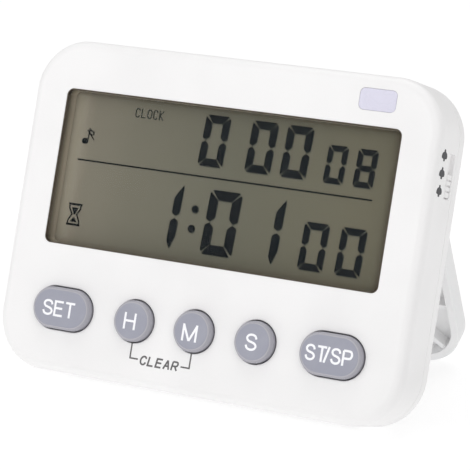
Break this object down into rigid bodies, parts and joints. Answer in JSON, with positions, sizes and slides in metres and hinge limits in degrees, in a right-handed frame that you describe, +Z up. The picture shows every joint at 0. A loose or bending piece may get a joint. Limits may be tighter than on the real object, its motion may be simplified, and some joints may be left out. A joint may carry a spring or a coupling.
{
  "type": "bench countdown timer",
  "caption": "Rounded white bench timer leaning on a fold-out rear stand, with a wide display, push buttons, an alarm light and a side slide switch.",
  "frame": {"origin": "on the table under the middle of the timer's bounding box, as it stands leaning back 20 degrees with its stand open", "axes": "+Z up, +X along the width of the front to the reader's right, -Y towards the reader, +Y towards the stand"},
  "size_m": [0.1, 0.0602, 0.0748],
  "materials": {
    "white_plastic": "fine satin moulding",
    "white_stand": "satin moulding",
    "clear_window": "clear polished plastic plate",
    "dark_bezel": "matt dark frame",
    "lcd_glass": "olive grey reflective display",
    "black_rubber": "soft striped contact strip",
    "grey_button": "satin lavender grey",
    "grey_silicone": "soft silicone",
    "lens_plastic": "frosted pale lavender lens",
    "led_red": "tinted clear epoxy",
    "black_resin": "matt resin",
    "board_green": "solder mask over copper",
    "steel": "bright nickel-plated steel",
    "plated_magnet": "nickel-plated disc magnet",
    "brass": "bare sheet",
    "red_wire": "insulation",
    "black_wire": "insulation"
  },
  "bodies": {
    "case": {"front_shell": "white_plastic", "rear_shell": "white_plastic", "display_window": "clear_window", "lcd_bezel": "dark_bezel", "lcd_panel": "lcd_glass", "zebra_strip": "black_rubber", "keypad_mat": "grey_silicone", "light_lens": "lens_plastic", "alarm_led": "led_red", "switch_body": "black_resin", "main_board": "board_green", "controller_chip": "black_resin", "clock_crystal": "steel", "battery_holder": "black_resin", "coin_cell": "steel", "battery_contact_negative": "steel", "battery_contact_positive": "steel", "buzzer_disc": "brass", "buzzer_wire_red": "red_wire", "buzzer_wire_black": "black_wire", "magnet_left": "plated_magnet", "magnet_right": "plated_magnet", "case_screw_top_left": "steel", "case_screw_top_right": "steel", "case_screw_bottom_left": "steel", "case_screw_bottom_right": "steel", "board_screw_top_left": "steel", "board_screw_top_right": "steel", "board_screw_bottom_left": "steel", "board_screw_bottom_right": "steel"},
    "set_button": {"button_set": "grey_button"},
    "hour_button": {"button_hour": "grey_button"},
    "minute_button": {"button_minute": "grey_button"},
    "second_button": {"button_second": "grey_button"},
    "start_stop_button": {"button_start_stop": "grey_button"},
    "alarm_switch": {"switch_knob": "white_plastic"},
    "battery_door": {"battery_door": "white_plastic"},
    "stand": {"stand": "white_stand"}
  },
  "joints": [
    {"name": "stand_hinge", "type": "hinge", "parent": "case", "child": "stand", "pos_m": [0, 0.0033, 0.05392], "axis": [1, 0, 0], "range_deg": [-46, 0]},
    {"name": "set_press", "type": "slide", "parent": "case", "child": "set_button", "axis": [0, 0.9397, -0.342], "range_m": [0, 0.001], "stiffness_N_per_m": 500, "springref_m": -0.0005},
    {"name": "hour_press", "type": "slide", "parent": "case", "child": "hour_button", "axis": [0, 0.9397, -0.342], "range_m": [0, 0.001], "stiffness_N_per_m": 500, "springref_m": -0.0005},
    {"name": "minute_press", "type": "slide", "parent": "case", "child": "minute_button", "axis": [0, 0.9397, -0.342], "range_m": [0, 0.001], "stiffness_N_per_m": 500, "springref_m": -0.0005},
    {"name": "second_press", "type": "slide", "parent": "case", "child": "second_button", "axis": [0, 0.9397, -0.342], "range_m": [0, 0.001], "stiffness_N_per_m": 500, "springref_m": -0.0005},
    {"name": "start_stop_press", "type": "slide", "parent": "case", "child": "start_stop_button", "axis": [0, 0.9397, -0.342], "range_m": [0, 0.001], "stiffness_N_per_m": 500, "springref_m": -0.0005},
    {"name": "alarm_switch_slide", "type": "slide", "parent": "case", "child": "alarm_switch", "axis": [0, 0.342, 0.9397], "range_m": [0, 0.004]},
    {"name": "battery_door_turn", "type": "hinge", "parent": "case", "child": "battery_door", "pos_m": [0, -0.00361, 0.03116], "axis": [0, 0.9397, -0.342], "range_deg": [0, 60]}
  ]
}
